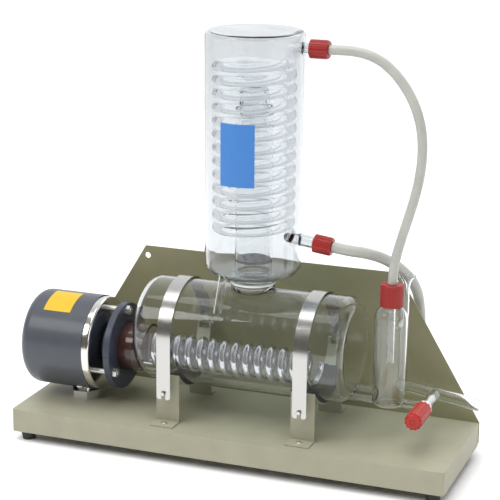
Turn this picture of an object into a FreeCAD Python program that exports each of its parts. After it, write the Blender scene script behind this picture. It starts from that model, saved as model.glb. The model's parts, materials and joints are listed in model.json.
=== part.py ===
import FreeCAD, Part
import math
import os

# Glass water still on a sheet-metal stand: boiler, immersion heater, coil condenser and level bottle.
# Millimetres. Origin on the floor under the middle of the stand, +X along it, +Y to the back, +Z up.

# Stand
BASE_LENGTH = 500.0
BASE_DEPTH = 155.0
TRAY_HEIGHT = 26.0
SHEET = 1.5
FOOT_HEIGHT = 11.0
FOOT_TOP_R = 9.0
FOOT_TIP_R = 7.0
FOOT_RECESS = 3.85
FOOT_RECESS_R = 4.6
FOOT_INSET_X = 14.0
FOOT_INSET_Y = 13.0
PANEL_RISE = 162.3
PANEL_CORNER_INSET = 97.85
PANEL_EDGE_LIFT = 2.0
HANG_HOLE_R = 3.5
HANG_HOLE_DROP = 11.4
HANG_HOLE_INSET = 2.6
PANEL_SCREW_X = 215.0
PANEL_SCREW_INNER_X = 75.0
SCREW_R = 2.0
SCREW_HEAD_R = 3.6
SCREW_HEAD_H = 1.6
NUT_R = 4.0
NUT_H = 3.0
THREAD_OUT = 1.0
HOLE_GAP = 0.3

# Boiler
BOILER_R = 58.0
BOILER_WALL = 2.5
BOILER_LEFT_X = -113.6
BOILER_LENGTH = 242.8
BOILER_END_R = 14.0
BOILER_LIFT = 35.5
NECK_R = 28.0
NECK_LENGTH = 36.4
NECK_BEAD_R = 31.0
NECK_BEAD = 4.0
CONDENSER_X = 10.0
TOP_NECK_R = 20.0
TOP_NECK_RISE = 5.5
TOP_NECK_FILLET = 4.0
JOINT_FLANGE_R = 24.5
JOINT_FLANGE = 3.0
LINK_R = 9.5
LINK_LIFT = 46.0
GLASS = 1.6

# Cradles and straps
CRADLE_LEFT_X = -71.5
CRADLE_RIGHT_X = 85.5
CRADLE_WIDTH = 27.0
CRADLE_LEG_INSET = 9.6
FRONT_FLANGE = 19.0
REAR_FLANGE = 13.0
PAD = 3.0
EAR_WIDTH = 16.0
TONGUE_CLEAR = 4.5
LUG_ROOT = 1.5
LUG_DROP = 9.0
LUG_EYE_R = 3.0
HINGE_OUT = 8.0
HINGE_DROP = 12.5
HINGE_PIN_R = 1.5
PIN_HEAD = 1.2
PIN_OUT = 1.0
PIN_RUNNING = 0.06
KNUCKLE_WALL = 1.4
LUG = 2.0
STRAP_WIDTH = 16.0
STRAP_TAIL_WIDTH = 10.0
STRAP = 0.8
STRAP_GAP = 1.3
STRAP_LEAVE_DEG = 8.0
STRAP_END_R = 3.0
STRAP_HOOK_PLAY = 1.0
STRAP_END_LIFT = 30.0
HOOK_LIFT = 37.0
HOOK_R = 2.0
HOOK_OUT = 3.0
HOOK_COLLAR = 1.5
HOOK_SLOT_GAP = 0.35

# Heater
HEATER_LIFT = 29.5
HEATER_COIL_R = 17.0
HEATER_TUBE_R = 4.0
HEATER_PITCH = 13.7
HEATER_TURNS = 14.25
HEATER_FROM_END = 2.0
STOPPER_LENGTH = 24.0
STOPPER_FLANGE = 3.0
FLANGE_R = 49.0
FLANGE = 8.0
SPLIT_GAP = 0.4
FLANGE_EDGE_R = 1.2
FLANGE_BACK = 4.0
BOSS_R = 34.0
BOSS_FACE_R = 22.0
BOSS_LENGTH = 11.0
BOSS_RIM = 4.0
BOLT_R = 2.5
BOLT_CIRCLE_R = 42.0
BOLT_NUT_R = 5.2
BOLT_NUT_H = 4.5
BOLT_HEAD_H = 3.5
BOLT_OUT = 1.5
SLEEVE_R = 3.1
DISH_GAP = 16.0
DISH_R = 53.0
DISH_RIM = 8.7
DISH_LIP = 6.0
DISH_EDGE_R = 3.0

# Terminal cover
COVER_R = 54.0
COVER_WALL = 2.5
COVER_LENGTH = 78.0
COVER_EDGE_R = 12.0
COVER_SCREW_R = 2.2
COVER_SCREW_INSET = 15.0
COVER_SCREW_LENGTH = 6.0
COVER_SCREW_HEAD_R = 4.2
COVER_SCREW_DEG = 242.0
FITTING_X = -191.0
FITTING_Y = -9.0
FITTING_R = 9.0
FITTING_BORE_R = 6.0
FITTING_NUT_R = 16.5
FITTING_GAP = 0.4
FITTING_STEM_DROP = 7.0
FITTING_STEM_RISE = 4.0
FITTING_LOW_NUT_R = 14.5
FITTING_LOW_NUT_H = 5.0
GROMMET_X = -180.0
GROMMET_LIFT = 12.0
GROMMET_BORE_R = 4.0
GROMMET_R = 6.5
GROMMET_FLANGE = 2.0
BLOCK_SET_BACK = 8.0
BLOCK_LENGTH = 20.0
BLOCK_HALF_WIDTH = 16.0
BLOCK_DROP = 26.0
BLOCK_RISE = 12.0
BLOCK_EDGE_R = 2.0
CUP_WALL = 1.0
CUP_DEPTH = 8.0
TERMINAL_SCREW_R = 2.5
TERMINAL_SCREW_H = 3.0
CUTOUT_R = 8.0
CUTOUT_HEIGHT = 11.0
CUTOUT_EDGE = 2.0
CUTOUT_FLANGE_R = 11.0
CUTOUT_PLACE = (22.0, 24.0)
LABEL = 0.3
COVER_LABEL_X = -213.0
COVER_LABEL_LENGTH = 33.0
COVER_LABEL_HALF_DEG = 20.5
COVER_LABEL_TURN_DEG = 108.5

# Condenser
JACKET_R = 53.25
JACKET_WALL = 2.5
JACKET_HEIGHT = 264.0
JACKET_LIFT = 16.5
JACKET_FOOT_R = 14.0
JACKET_TOP_R = 5.0
JOINT_GASKET = 2.0
RISER_R = 20.5
RISER_HEIGHT = 173.5
BAFFLE_LIFT = 11.0
BAFFLE = 3.0
BAFFLE_HOLES = 6
BAFFLE_HOLE_R = 1.8
BAFFLE_HOLE_CIRCLE_R = 11.0
HOOD_R = 16.5
HOOD_HEIGHT = 29.0
HOOD_SPIGOT = 14.0
HOOD_SPIGOT_R = 14.2
HOOD_WINDOW_R = 3.6
HOOD_WINDOW_LIFT = 12.2
HOOD_RIM = 2.0
HOOD_RIM_OUT = 1.0
COIL_R = 39.7
COIL_TUBE_R = 5.3
COIL_PITCH = 14.6
COIL_TURNS = 13.0
COIL_SEAL_BACK = 1.5
COIL_SPIGOT_OVERLAP = 2.0
COIL_SPIGOT_CLEAR = 0.1
LOWER_ARM_LIFT = 42.0
UPPER_ARM_LIFT = 248.0
LOWER_ARM_TILT = 7.0
ARM_R = 6.6
ARM_BORE_R = 4.6
UPPER_ARM_LENGTH = 21.5
LOWER_ARM_LENGTH = 29.5
JACKET_LABEL_WIDTH = 38.8
JACKET_LABEL_LIFT = 106.0
JACKET_LABEL_HEIGHT = 67.0
SPOUT_R = 5.0
SPOUT_TOP_LIFT = 5.0
SPOUT_TOP = (-18.0, -44.0)
SPOUT_TIP = (-18.0, -61.0)
SPOUT_DROP = 32.0
SPOUT_TAIL = 20.0
SPOUT_TAIL_R = 4.8

# Small screw caps and hose nozzles
CAP_R = 10.0
CAP_LENGTH = 20.0
CAP_WALL = 2.4
CAP_CLEAR = 0.35
CAP_RIBS = 20
SEAL = 2.4
NOZZLE_FLANGE = 2.4
NOZZLE_R = 3.6
NOZZLE_BORE_R = 2.2
NOZZLE_BARB = 14.0

# Level bottle, overflow and stopcock
BOTTLE_X = 167.0
BOTTLE_R = 18.0
BOTTLE_LIFT = 36.5
BOTTLE_BODY = 97.0
BOTTLE_SHOULDER = 14.0
BOTTLE_FOOT_R = 5.0
BOTTLE_SHOULDER_IN = 2.2
BOTTLE_SHOULDER_BEND = 8.7
BOTTLE_NECK_R = 10.0
BOTTLE_NECK = 19.8
BOTTLE_CAP_R = 12.5
BOTTLE_CAP_LENGTH = 24.0
BOTTLE_CAP_RIBS = 28
DIP_R = 4.5
DIP_LENGTH = 87.0
DIP_STUB = 12.0
DIP_WALL = 1.2
OVERFLOW_X = 170.5
OVERFLOW_Y = 43.6
OVERFLOW_R = 4.0
OVERFLOW_WALL = 1.1
OVERFLOW_TOP_LIFT = 169.5
TRUMPET_R = 10.0
TRUMPET = 16.0
TRUMPET_BEND = (1.2, 7.2)
TRUMPET_WALL = 1.3
PORT_LIFT = 119.0
PORT_BORE_R = 2.7
DRAIN_R = 7.0
DRAIN_LIFT = 45.0
DRAIN_LENGTH = 87.0
DRAIN_TAIL = 40.0
DRAIN_TAIL_R = 6.8
DRAIN_FALL = 8.0
STOPCOCK_X = 207.5
BARREL_R = 6.5
BARREL_FRONT_Y = -9.0
BARREL_INLET_R = 4.5
BARREL_SEAT_R = 3.0
COLLAR_R = 8.6
COLLAR = 4.0
SPINDLE_R = 4.3
SPINDLE_STEM_R = 3.0
SPINDLE_OUT = 14.0
SPINDLE_NOSE = 9.0
SPINDLE_NOSE_R = 1.6
SPINDLE_SET_BACK = 4.0
SPINDLE_LAP = 4.0
PLUG = 2.5
PLUG_SET_BACK = 2.3
KNOB_R = 9.6
KNOB_LENGTH = 41.0
KNOB_FLUTES = 12
KNOB_FLUTE_R = 1.5
KNOB_FLUTE_DEPTH = 0.9
KNOB_TIP = 2.0
KNOB_TIP_IN = 1.2
KNOB_TIP_CHAMFER = 1.4
KNOB_SOCKET = 26.0
KNOB_RING_R = 3.2
KNOB_RING = 1.0
KNOB_RING_DEPTH = 0.6

# Hoses: route points in place, from the fitting outwards
HOSE_GAP = 0.45
OUTLET_HOSE_R = 5.2
INLET_HOSE_R = 6.0
OUTLET_ROUTE = [
    (92.4, 0.0, 453.0), (112.0, 0.5, 453.6), (131.5, 1.0, 451.4), (148.6, 1.0, 444.6), (163.2, 0.5, 433.0),
    (175.8, 0.0, 418.0), (186.0, -0.5, 400.5), (192.4, -1.0, 381.5), (195.0, -1.0, 362.0), (194.8, -1.0, 344.0),
    (192.6, -0.5, 325.0), (188.4, 0.0, 305.0), (182.6, 0.0, 284.0), (176.4, 0.0, 263.0), (171.0, 0.0, 243.0),
    (167.8, 0.0, 226.0), (167.0, 0.0, 209.4),
]
INLET_ROUTE = [
    (100.2, 0.0, 242.5), (118.1, 0.0, 240.3), (134.9, 8.1, 237.6), (147.2, 22.4, 230.4), (152.8, 41.6, 220.6),
    (158.8, 63.5, 207.6), (165.0, 84.0, 191.6), (168.8, 99.0, 173.0), (169.8, 107.5, 152.0), (170.2, 111.5, 129.0),
    (170.0, 114.5, 104.0), (169.8, 118.5, 77.0), (170.0, 126.5, 51.0), (170.2, 141.5, 28.5), (170.0, 162.0, 13.0),
    (170.0, 184.0, 6.8),
]
PUT_AWAY_COIL = (104.0, 184.0)
PUT_AWAY_R = 60.0
PUT_AWAY_TAIL = 60.0
PUT_AWAY_LOW_EDGE_R = 4.0
PUT_AWAY_TOP_EDGE_R = 7.0
CONNECTOR_R = 9.0
CONNECTOR_LENGTH = 34.0
CONNECTOR_NUT = 15.3
CONNECTOR_HEX = 6.0
CONNECTOR_HEX_BACK = 8.0
CONNECTOR_NECK_R = 6.5
CONNECTOR_MOUTH = 12.2
CONNECTOR_BORE_R = 2.5
CONNECTOR_RIBS = 16
CONNECTOR_RIB_R = 1.0
CONNECTOR_RIB_DEPTH = 0.6

# Worked out from the sizes above
TOP_Z = FOOT_HEIGHT + TRAY_HEIGHT
HALF_L = BASE_LENGTH / 2
HALF_D = BASE_DEPTH / 2
PANEL_FRONT_Y = HALF_D - SHEET
BOILER_Z = TOP_Z + BOILER_LIFT + BOILER_R
BOILER_RIGHT_X = BOILER_LEFT_X + BOILER_LENGTH
BOILER_TOP_Z = BOILER_Z + BOILER_R
HEATER_Z = BOILER_Z - BOILER_R + HEATER_LIFT
NECK_END_X = BOILER_LEFT_X - NECK_LENGTH
JACKET_Z = BOILER_TOP_Z + JACKET_LIFT
JACKET_FLOOR_Z = JACKET_Z + JACKET_WALL
RISER_TOP_Z = JACKET_FLOOR_Z + RISER_HEIGHT
BOTTLE_Z = TOP_Z + BOTTLE_LIFT
BOTTLE_CAP_TOP_Z = BOTTLE_Z + BOTTLE_BODY + BOTTLE_SHOULDER + BOTTLE_NECK + CAP_WALL
BARREL_Z = TOP_Z + DRAIN_LIFT - (STOPCOCK_X - OVERFLOW_X) * math.tan(math.radians(DRAIN_FALL))
CRADLES = {"left": CRADLE_LEFT_X, "right": CRADLE_RIGHT_X}
CRADLE_LEG_Y = BOILER_R - CRADLE_LEG_INSET
SADDLE_IN_R = BOILER_R + PAD
SADDLE_OUT_R = SADDLE_IN_R + SHEET
STRAP_IN_R = BOILER_R + STRAP_GAP
STRAP_OUT_R = STRAP_IN_R + STRAP
HINGE_Y = BOILER_R + HINGE_OUT
HINGE_Z = BOILER_Z - HINGE_DROP

X = FreeCAD.Vector(1, 0, 0)
Y = FreeCAD.Vector(0, 1, 0)
Z = FreeCAD.Vector(0, 0, 1)


def vec(x, y, z):
    return FreeCAD.Vector(x, y, z)


def save(name, shape):
    shape.exportStep("parts/" + name + ".step")


def group(shapes):
    return Part.makeCompound(shapes)


def box(x0, x1, y0, y1, z0, z1):
    return Part.makeBox(x1 - x0, y1 - y0, z1 - z0, vec(x0, y0, z0))


def rod(radius, length, start, axis):
    return Part.makeCylinder(radius, length, start, axis)


def pipe(outer, inner, length, start, axis):
    return rod(outer, length, start, axis).cut(rod(inner, length, start, axis))


def profile(points):
    """A face from points (x, z); an entry (x, z, x, z) is an arc through its first point to its second."""
    edges = []
    last = points[0]
    for p in points[1:] + points[:1]:
        here = vec(last[-2], 0, last[-1])
        end = vec(p[-2], 0, p[-1])
        if len(p) == 4:
            edges.append(Part.Arc(here, vec(p[0], 0, p[1]), end).toShape())
        elif here.distanceToPoint(end) > 1e-6:
            edges.append(Part.LineSegment(here, end).toShape())
        last = p
    return Part.Face(Part.Wire(edges))


def turned(points):
    """A solid turned about +Z from points (radius, height)."""
    return profile(points).revolve(vec(0, 0, 0), Z, 360)


def corner(cx, cz, radius, from_deg, to_deg):
    """An arc entry for profile(): about (cx, cz), through its middle, to to_deg."""
    mid = math.radians((from_deg + to_deg) / 2)
    end = math.radians(to_deg)
    return (cx + radius * math.cos(mid), cz + radius * math.sin(mid),
            cx + radius * math.cos(end), cz + radius * math.sin(end))


def placed(shape, origin, axis):
    """The shape, built along +Z at the origin, with its +Z turned to axis and its origin moved."""
    result = shape.copy()
    turn = FreeCAD.Rotation(Z, axis)
    result.Placement = FreeCAD.Placement(origin, turn).multiply(result.Placement)
    return result


def prism(radius, sides, length):
    points = [vec(radius * math.cos(2 * math.pi * i / sides), radius * math.sin(2 * math.pi * i / sides), 0)
              for i in range(sides)]
    return Part.Face(Part.makePolygon(points + points[:1])).extrude(vec(0, 0, length))


def fluted(radius, length, count, flute_r, depth):
    """A rod along +Z with round grooves down its side."""
    cutters = []
    for i in range(count):
        a = 2 * math.pi * i / count
        out = radius + flute_r - depth
        cutters.append(rod(flute_r, length, vec(out * math.cos(a), out * math.sin(a), 0), Z))
    return rod(radius, length, vec(0, 0, 0), Z).cut(cutters)


def hose(points, radius):
    """A solid hose: straight runs joined by tangent arcs, each as large as its two runs allow."""
    pts = [vec(*p) for p in points]
    edges = []
    start = pts[0]
    for before, here, after in zip(pts, pts[1:], pts[2:]):
        back = (before - here).normalize()
        on = (after - here).normalize()
        half_turn = (math.pi - back.getAngle(on)) / 2
        shorter = min(before.distanceToPoint(here), here.distanceToPoint(after))
        reach = 0.45 * shorter
        arc_r = reach / math.tan(half_turn)
        enter = here + back * reach
        leave = here + on * reach
        inward = (back + on).normalize()
        mid = here + inward * (arc_r / math.cos(half_turn) - arc_r)
        edges.append(Part.LineSegment(start, enter).toShape())
        edges.append(Part.Arc(enter, mid, leave).toShape())
        start = leave
    edges.append(Part.LineSegment(start, pts[-1]).toShape())
    path = Part.Wire(edges)
    section = Part.Wire([Part.makeCircle(radius, pts[0], pts[1] - pts[0])])
    return path.makePipeShell([section], True, False)


def tied(points, start, end):
    """The route with its ends moved to start and end, and the points between them moved in step."""
    from_start = start - vec(*points[0])
    from_end = end - vec(*points[-1])
    moved = []
    for i, p in enumerate(points):
        share = i / (len(points) - 1)
        moved.append(vec(*p) + from_start * (1 - share) + from_end * share)
    return moved


def screw(origin, axis, length, radius=SCREW_R, head_r=SCREW_HEAD_R, head_h=SCREW_HEAD_H):
    """A domed screw: its head stands out of origin against axis, its shank runs along axis."""
    head = turned([(0, -head_h), (head_r * 0.7, -head_h * 0.9, head_r, 0), (0, 0)])
    return placed(head.fuse(rod(radius, length, vec(0, 0, 0), Z)), origin, axis)


def nut(origin, axis, hole_r, radius=NUT_R, height=NUT_H):
    return placed(prism(radius, 6, height).cut(rod(hole_r, height, vec(0, 0, 0), Z)), origin, axis)


# Where the fasteners of the stand go
def feet_places():
    return [(sx * (HALF_L - FOOT_INSET_X), sy * (HALF_D - FOOT_INSET_Y)) for sx in (-1, 1) for sy in (-1, 1)]


def cradle_screw_places():
    front = -CRADLE_LEG_Y - FRONT_FLANGE / 2
    rear = CRADLE_LEG_Y + REAR_FLANGE / 2
    return [(x, y) for x in CRADLES.values() for y in (front, rear)]


def panel_screw_xs():
    return [-PANEL_SCREW_X, -PANEL_SCREW_INNER_X, PANEL_SCREW_INNER_X, PANEL_SCREW_X]


def panel_screw_z():
    return FOOT_HEIGHT + TRAY_HEIGHT / 2


def make_stand():
    tray = box(-HALF_L, HALF_L, -HALF_D, PANEL_FRONT_Y, FOOT_HEIGHT, TOP_Z)
    upright = [e for e in tray.Edges if abs(e.tangentAt(e.FirstParameter).z) > 0.9]
    tray = tray.makeFillet(2 * SHEET, upright)
    inner_x = HALF_L - SHEET
    inner = box(-inner_x, inner_x, -HALF_D + SHEET, PANEL_FRONT_Y - SHEET, FOOT_HEIGHT, TOP_Z - SHEET)
    holes = [rod(SCREW_R + HOLE_GAP, TRAY_HEIGHT, vec(x, y, FOOT_HEIGHT), Z)
             for x, y in cradle_screw_places()]
    holes += [rod(SCREW_R + HOLE_GAP, 2 * SHEET, vec(x, PANEL_FRONT_Y - 1.5 * SHEET, panel_screw_z()), Y)
              for x in panel_screw_xs()]
    holes.append(rod(FITTING_R + HOLE_GAP, TRAY_HEIGHT, vec(FITTING_X, FITTING_Y, FOOT_HEIGHT), Z))
    grommet_start = vec(GROMMET_X, PANEL_FRONT_Y - 2 * SHEET, FOOT_HEIGHT + GROMMET_LIFT)
    grommet_hole = rod(GROMMET_R, 4 * SHEET, grommet_start, Y)
    holes.append(grommet_hole)
    tray = tray.cut([inner] + holes)
    # Each foot stands on a folded corner lug across the open underside of the tray
    lugs = []
    for x, y in feet_places():
        outer_x = math.copysign(HALF_L - SHEET, x)
        near_x = x - math.copysign(FOOT_TOP_R, x)
        outer_y = -HALF_D + SHEET if y < 0 else PANEL_FRONT_Y - SHEET
        near_y = y - math.copysign(FOOT_TOP_R, y)
        lug = box(min(outer_x, near_x), max(outer_x, near_x), min(outer_y, near_y), max(outer_y, near_y),
                  FOOT_HEIGHT, FOOT_HEIGHT + SHEET)
        lugs.append(lug.cut(rod(SCREW_R + HOLE_GAP, SHEET, vec(x, y, FOOT_HEIGHT), Z)))
    return tray.fuse(lugs).removeSplitter(), grommet_hole


def make_panel(grommet_hole):
    low = FOOT_HEIGHT + PANEL_EDGE_LIFT
    top = TOP_Z + PANEL_RISE
    top_x = HALF_L - PANEL_CORNER_INSET
    face = profile([(-HALF_L, low), (HALF_L, low), (HALF_L, TOP_Z), (top_x, top), (-top_x, top),
                    (-HALF_L, TOP_Z)])
    face.translate(vec(0, PANEL_FRONT_Y, 0))
    panel = face.extrude(vec(0, SHEET, 0))
    hang_x = top_x - HANG_HOLE_INSET
    holes = [rod(HANG_HOLE_R, 3 * SHEET, vec(x, PANEL_FRONT_Y - SHEET, top - HANG_HOLE_DROP), Y)
             for x in (-hang_x, hang_x)]
    holes += [rod(SCREW_R + HOLE_GAP, 3 * SHEET, vec(x, PANEL_FRONT_Y - SHEET, panel_screw_z()), Y)
              for x in panel_screw_xs()]
    return panel.cut(holes + [grommet_hole])


def make_feet():
    feet = []
    screws = []
    for x, y in feet_places():
        foot = turned([(SCREW_R, FOOT_RECESS), (FOOT_RECESS_R, FOOT_RECESS), (FOOT_RECESS_R, 0),
                       (FOOT_TIP_R, 0), (FOOT_TOP_R, FOOT_HEIGHT), (SCREW_R, FOOT_HEIGHT)])
        foot.translate(vec(x, y, 0))
        feet.append(foot)
        shank = FOOT_HEIGHT - FOOT_RECESS + SHEET + NUT_H + THREAD_OUT
        screws.append(screw(vec(x, y, FOOT_RECESS), Z, shank))
        screws.append(nut(vec(x, y, FOOT_HEIGHT + SHEET), Z, SCREW_R))
    return group(feet), group(screws)


def make_panel_screws():
    pieces = []
    for x in panel_screw_xs():
        pieces.append(screw(vec(x, HALF_D, panel_screw_z()), -Y, 2 * SHEET + NUT_H + THREAD_OUT))
        pieces.append(nut(vec(x, PANEL_FRONT_Y - SHEET, panel_screw_z()), -Y, SCREW_R))
    return group(pieces)


def make_grommet():
    z = FOOT_HEIGHT + GROMMET_LIFT
    inside = PANEL_FRONT_Y - SHEET
    body = rod(GROMMET_R, HALF_D - inside, vec(GROMMET_X, inside, z), Y)
    lips = [rod(GROMMET_R + GROMMET_FLANGE, GROMMET_FLANGE, vec(GROMMET_X, HALF_D, z), Y),
            rod(GROMMET_R + GROMMET_FLANGE, GROMMET_FLANGE, vec(GROMMET_X, inside - GROMMET_FLANGE, z), Y)]
    whole = HALF_D - inside + 2 * GROMMET_FLANGE
    bore = rod(GROMMET_BORE_R, whole, vec(GROMMET_X, inside - GROMMET_FLANGE, z), Y)
    return body.fuse(lips).cut(bore).removeSplitter()


def ring_sector(inner_r, outer_r, from_deg, to_deg, x0, width):
    """A bent sheet about the boiler's axis; angles from +Y towards +Z."""
    start = profile([(inner_r, 0), (outer_r, 0), (outer_r, width), (inner_r, width)])
    sector = start.revolve(vec(0, 0, 0), Z, to_deg - from_deg)
    sector.rotate(vec(0, 0, 0), Z, from_deg)
    onto_x = FreeCAD.Placement(vec(x0, 0, BOILER_Z), FreeCAD.Rotation(Y, Z, X, "ZXY"))
    sector.Placement = onto_x.multiply(sector.Placement)
    return sector


def saddle_angle(leg_y, radius):
    """How far below the horizontal a sheet of this radius meets an upright leg."""
    return math.degrees(math.acos(leg_y / radius))


def make_cradle(cx):
    x0 = cx - CRADLE_WIDTH / 2
    x1 = cx + CRADLE_WIDTH / 2
    meet = saddle_angle(CRADLE_LEG_Y, SADDLE_OUT_R)
    saddle = ring_sector(SADDLE_IN_R, SADDLE_OUT_R, -180 + meet, -meet, x0, CRADLE_WIDTH)
    leg_top = BOILER_Z - math.sqrt(SADDLE_OUT_R ** 2 - (CRADLE_LEG_Y - SHEET) ** 2) + SHEET
    pieces = [
        box(x0, x1, -CRADLE_LEG_Y, -CRADLE_LEG_Y + SHEET, TOP_Z, leg_top),
        box(x0, x1, CRADLE_LEG_Y - SHEET, CRADLE_LEG_Y, TOP_Z, leg_top),
        box(x0, x1, -CRADLE_LEG_Y - FRONT_FLANGE, -CRADLE_LEG_Y + SHEET, TOP_Z, TOP_Z + SHEET),
        box(x0, x1, CRADLE_LEG_Y - SHEET, CRADLE_LEG_Y + REAR_FLANGE, TOP_Z, TOP_Z + SHEET),
    ]
    # The rear tongue carries the strap's hinge
    ear_x0 = cx - EAR_WIDTH / 2
    tongue_top = math.degrees(math.asin((HINGE_DROP + TONGUE_CLEAR) / SADDLE_OUT_R))
    tongue = ring_sector(SADDLE_IN_R, SADDLE_OUT_R, -meet - 2, -tongue_top, ear_x0, EAR_WIDTH)
    lugs = []
    for lug_x in (ear_x0, ear_x0 + EAR_WIDTH - LUG):
        eye_top = HINGE_Z + LUG_EYE_R
        lug = box(lug_x, lug_x + LUG, SADDLE_IN_R - LUG_ROOT, HINGE_Y, HINGE_Z - LUG_DROP, eye_top)
        lug = lug.fuse(rod(LUG_EYE_R, LUG, vec(lug_x, HINGE_Y, HINGE_Z), X))
        foot = box(lug_x, lug_x + LUG, HINGE_Y - SHEET, HINGE_Y + LUG_EYE_R, HINGE_Z - LUG_DROP, HINGE_Z)
        lugs.append(lug.fuse(foot))
    glass = rod(SADDLE_IN_R, 2 * CRADLE_WIDTH, vec(cx - CRADLE_WIDTH, 0, BOILER_Z), X)
    hinge_hole = rod(HINGE_PIN_R, 2 * EAR_WIDTH, vec(cx - EAR_WIDTH, HINGE_Y, HINGE_Z), X)
    holes = [rod(SCREW_R + HOLE_GAP, 3 * SHEET, vec(x, y, TOP_Z - SHEET), Z)
             for x, y in cradle_screw_places() if x == cx]
    hook_hole = rod(HOOK_R, 3 * SHEET, vec(cx, -CRADLE_LEG_Y - SHEET, TOP_Z + HOOK_LIFT), Y)
    whole = saddle.fuse(pieces + [tongue] + lugs)
    return whole.cut([glass, hinge_hole, hook_hole] + holes).removeSplitter()


def make_pad(cx):
    meet = saddle_angle(CRADLE_LEG_Y, SADDLE_OUT_R)
    return ring_sector(BOILER_R, SADDLE_IN_R, -180 + meet, -meet, cx - CRADLE_WIDTH / 2 - 1, CRADLE_WIDTH + 2)


def make_cradle_screws():
    pieces = []
    for x, y in cradle_screw_places():
        pieces.append(screw(vec(x, y, TOP_Z + SHEET), -Z, 2 * SHEET + NUT_H + THREAD_OUT))
        pieces.append(nut(vec(x, y, TOP_Z - SHEET), -Z, SCREW_R))
    return group(pieces)


def make_strap(cx):
    x0 = cx - STRAP_WIDTH / 2
    end_z = TOP_Z + STRAP_END_LIFT
    band = ring_sector(STRAP_IN_R, STRAP_OUT_R, STRAP_LEAVE_DEG, 180, x0, STRAP_WIDTH)
    drop = box(x0, x0 + STRAP_WIDTH, -STRAP_OUT_R, -STRAP_IN_R, end_z, BOILER_Z)
    across = [e for e in drop.Edges if abs(e.tangentAt(e.FirstParameter).y) > 0.9]
    drop = drop.makeFillet(STRAP_END_R, [e for e in across if e.CenterOfMass.z < end_z + 1])
    # The tail runs from the band down to the knuckle round the hinge pin
    knuckle_r = HINGE_PIN_R + KNUCKLE_WALL
    leave = math.radians(STRAP_LEAVE_DEG)
    top_in = vec(0, STRAP_IN_R * math.cos(leave), BOILER_Z + STRAP_IN_R * math.sin(leave))
    top_out = vec(0, STRAP_OUT_R * math.cos(leave), BOILER_Z + STRAP_OUT_R * math.sin(leave))
    low_in = vec(0, HINGE_Y - knuckle_r, HINGE_Z + 0.4)
    low_out = vec(0, HINGE_Y - knuckle_r + STRAP, HINGE_Z + 0.8)
    half = STRAP_TAIL_WIDTH / 2
    side = Part.makePolygon([top_in, top_out, low_out, low_in, top_in])
    side.translate(vec(cx - half, 0, 0))
    tail = Part.Face(side).extrude(vec(STRAP_TAIL_WIDTH, 0, 0))
    knuckle = rod(knuckle_r, STRAP_TAIL_WIDTH, vec(cx - half, HINGE_Y, HINGE_Z), X)
    bore = rod(HINGE_PIN_R + PIN_RUNNING, STRAP_TAIL_WIDTH, vec(cx - half, HINGE_Y, HINGE_Z), X)
    hook_z = TOP_Z + HOOK_LIFT
    hook_hole = rod(HOOK_R + STRAP_HOOK_PLAY, 3 * STRAP, vec(cx, -STRAP_OUT_R - STRAP, hook_z), Y)
    slot_half = HOOK_R + HOOK_SLOT_GAP
    slot = box(cx - slot_half, cx + slot_half, -STRAP_OUT_R - STRAP, -STRAP_IN_R + STRAP, end_z - 1, hook_z)
    return band.fuse([drop, tail, knuckle]).cut([bore, hook_hole, slot]).removeSplitter()


def make_hinge_pins():
    pins = []
    for cx in CRADLES.values():
        pin = rod(HINGE_PIN_R, EAR_WIDTH + 2 * PIN_OUT, vec(cx - EAR_WIDTH / 2 - PIN_OUT, HINGE_Y, HINGE_Z), X)
        head = rod(HINGE_PIN_R + PIN_HEAD, PIN_HEAD, vec(cx + EAR_WIDTH / 2, HINGE_Y, HINGE_Z), X)
        pins.append(pin.fuse(head).removeSplitter())
    return group(pins)


def make_hooks():
    hooks = []
    for cx in CRADLES.values():
        back = -CRADLE_LEG_Y + SHEET
        reach = STRAP_OUT_R + HOOK_OUT + back
        stud = rod(HOOK_R, reach, vec(cx, back, TOP_Z + HOOK_LIFT), -Y)
        collar = rod(HOOK_R + HOOK_COLLAR, HOOK_R, vec(cx, -CRADLE_LEG_Y, TOP_Z + HOOK_LIFT), -Y)
        head = rod(HOOK_R + HOOK_COLLAR, HOOK_COLLAR, vec(cx, back, TOP_Z + HOOK_LIFT), Y)
        hooks.append(stud.fuse([collar, head]).removeSplitter())
    return group(hooks)


def boiler_solid(inset):
    """The boiler's body along X, drawn in by inset."""
    r = BOILER_R - inset
    length = BOILER_LENGTH - 2 * inset
    edge = BOILER_END_R - inset
    body = turned([(0, 0), (r - edge, 0), corner(r - edge, edge, edge, -90, 0), (r, length - edge),
                   corner(r - edge, length - edge, edge, 0, 90), (0, length)])
    return placed(body, vec(BOILER_LEFT_X + inset, 0, BOILER_Z), X)


def seam_on_top(edge):
    """True for the edge where the vapour neck grows out of the boiler's body."""
    box_of = edge.BoundBox
    under_the_joint = box_of.ZMax < BOILER_TOP_Z + 0.5 and box_of.ZMin > BOILER_Z + BOILER_R / 2
    about_the_neck = abs(box_of.Center.x - CONDENSER_X) < 1 and box_of.XLength < 2 * TOP_NECK_R + 1
    return under_the_joint and about_the_neck and box_of.YLength > TOP_NECK_R


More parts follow.
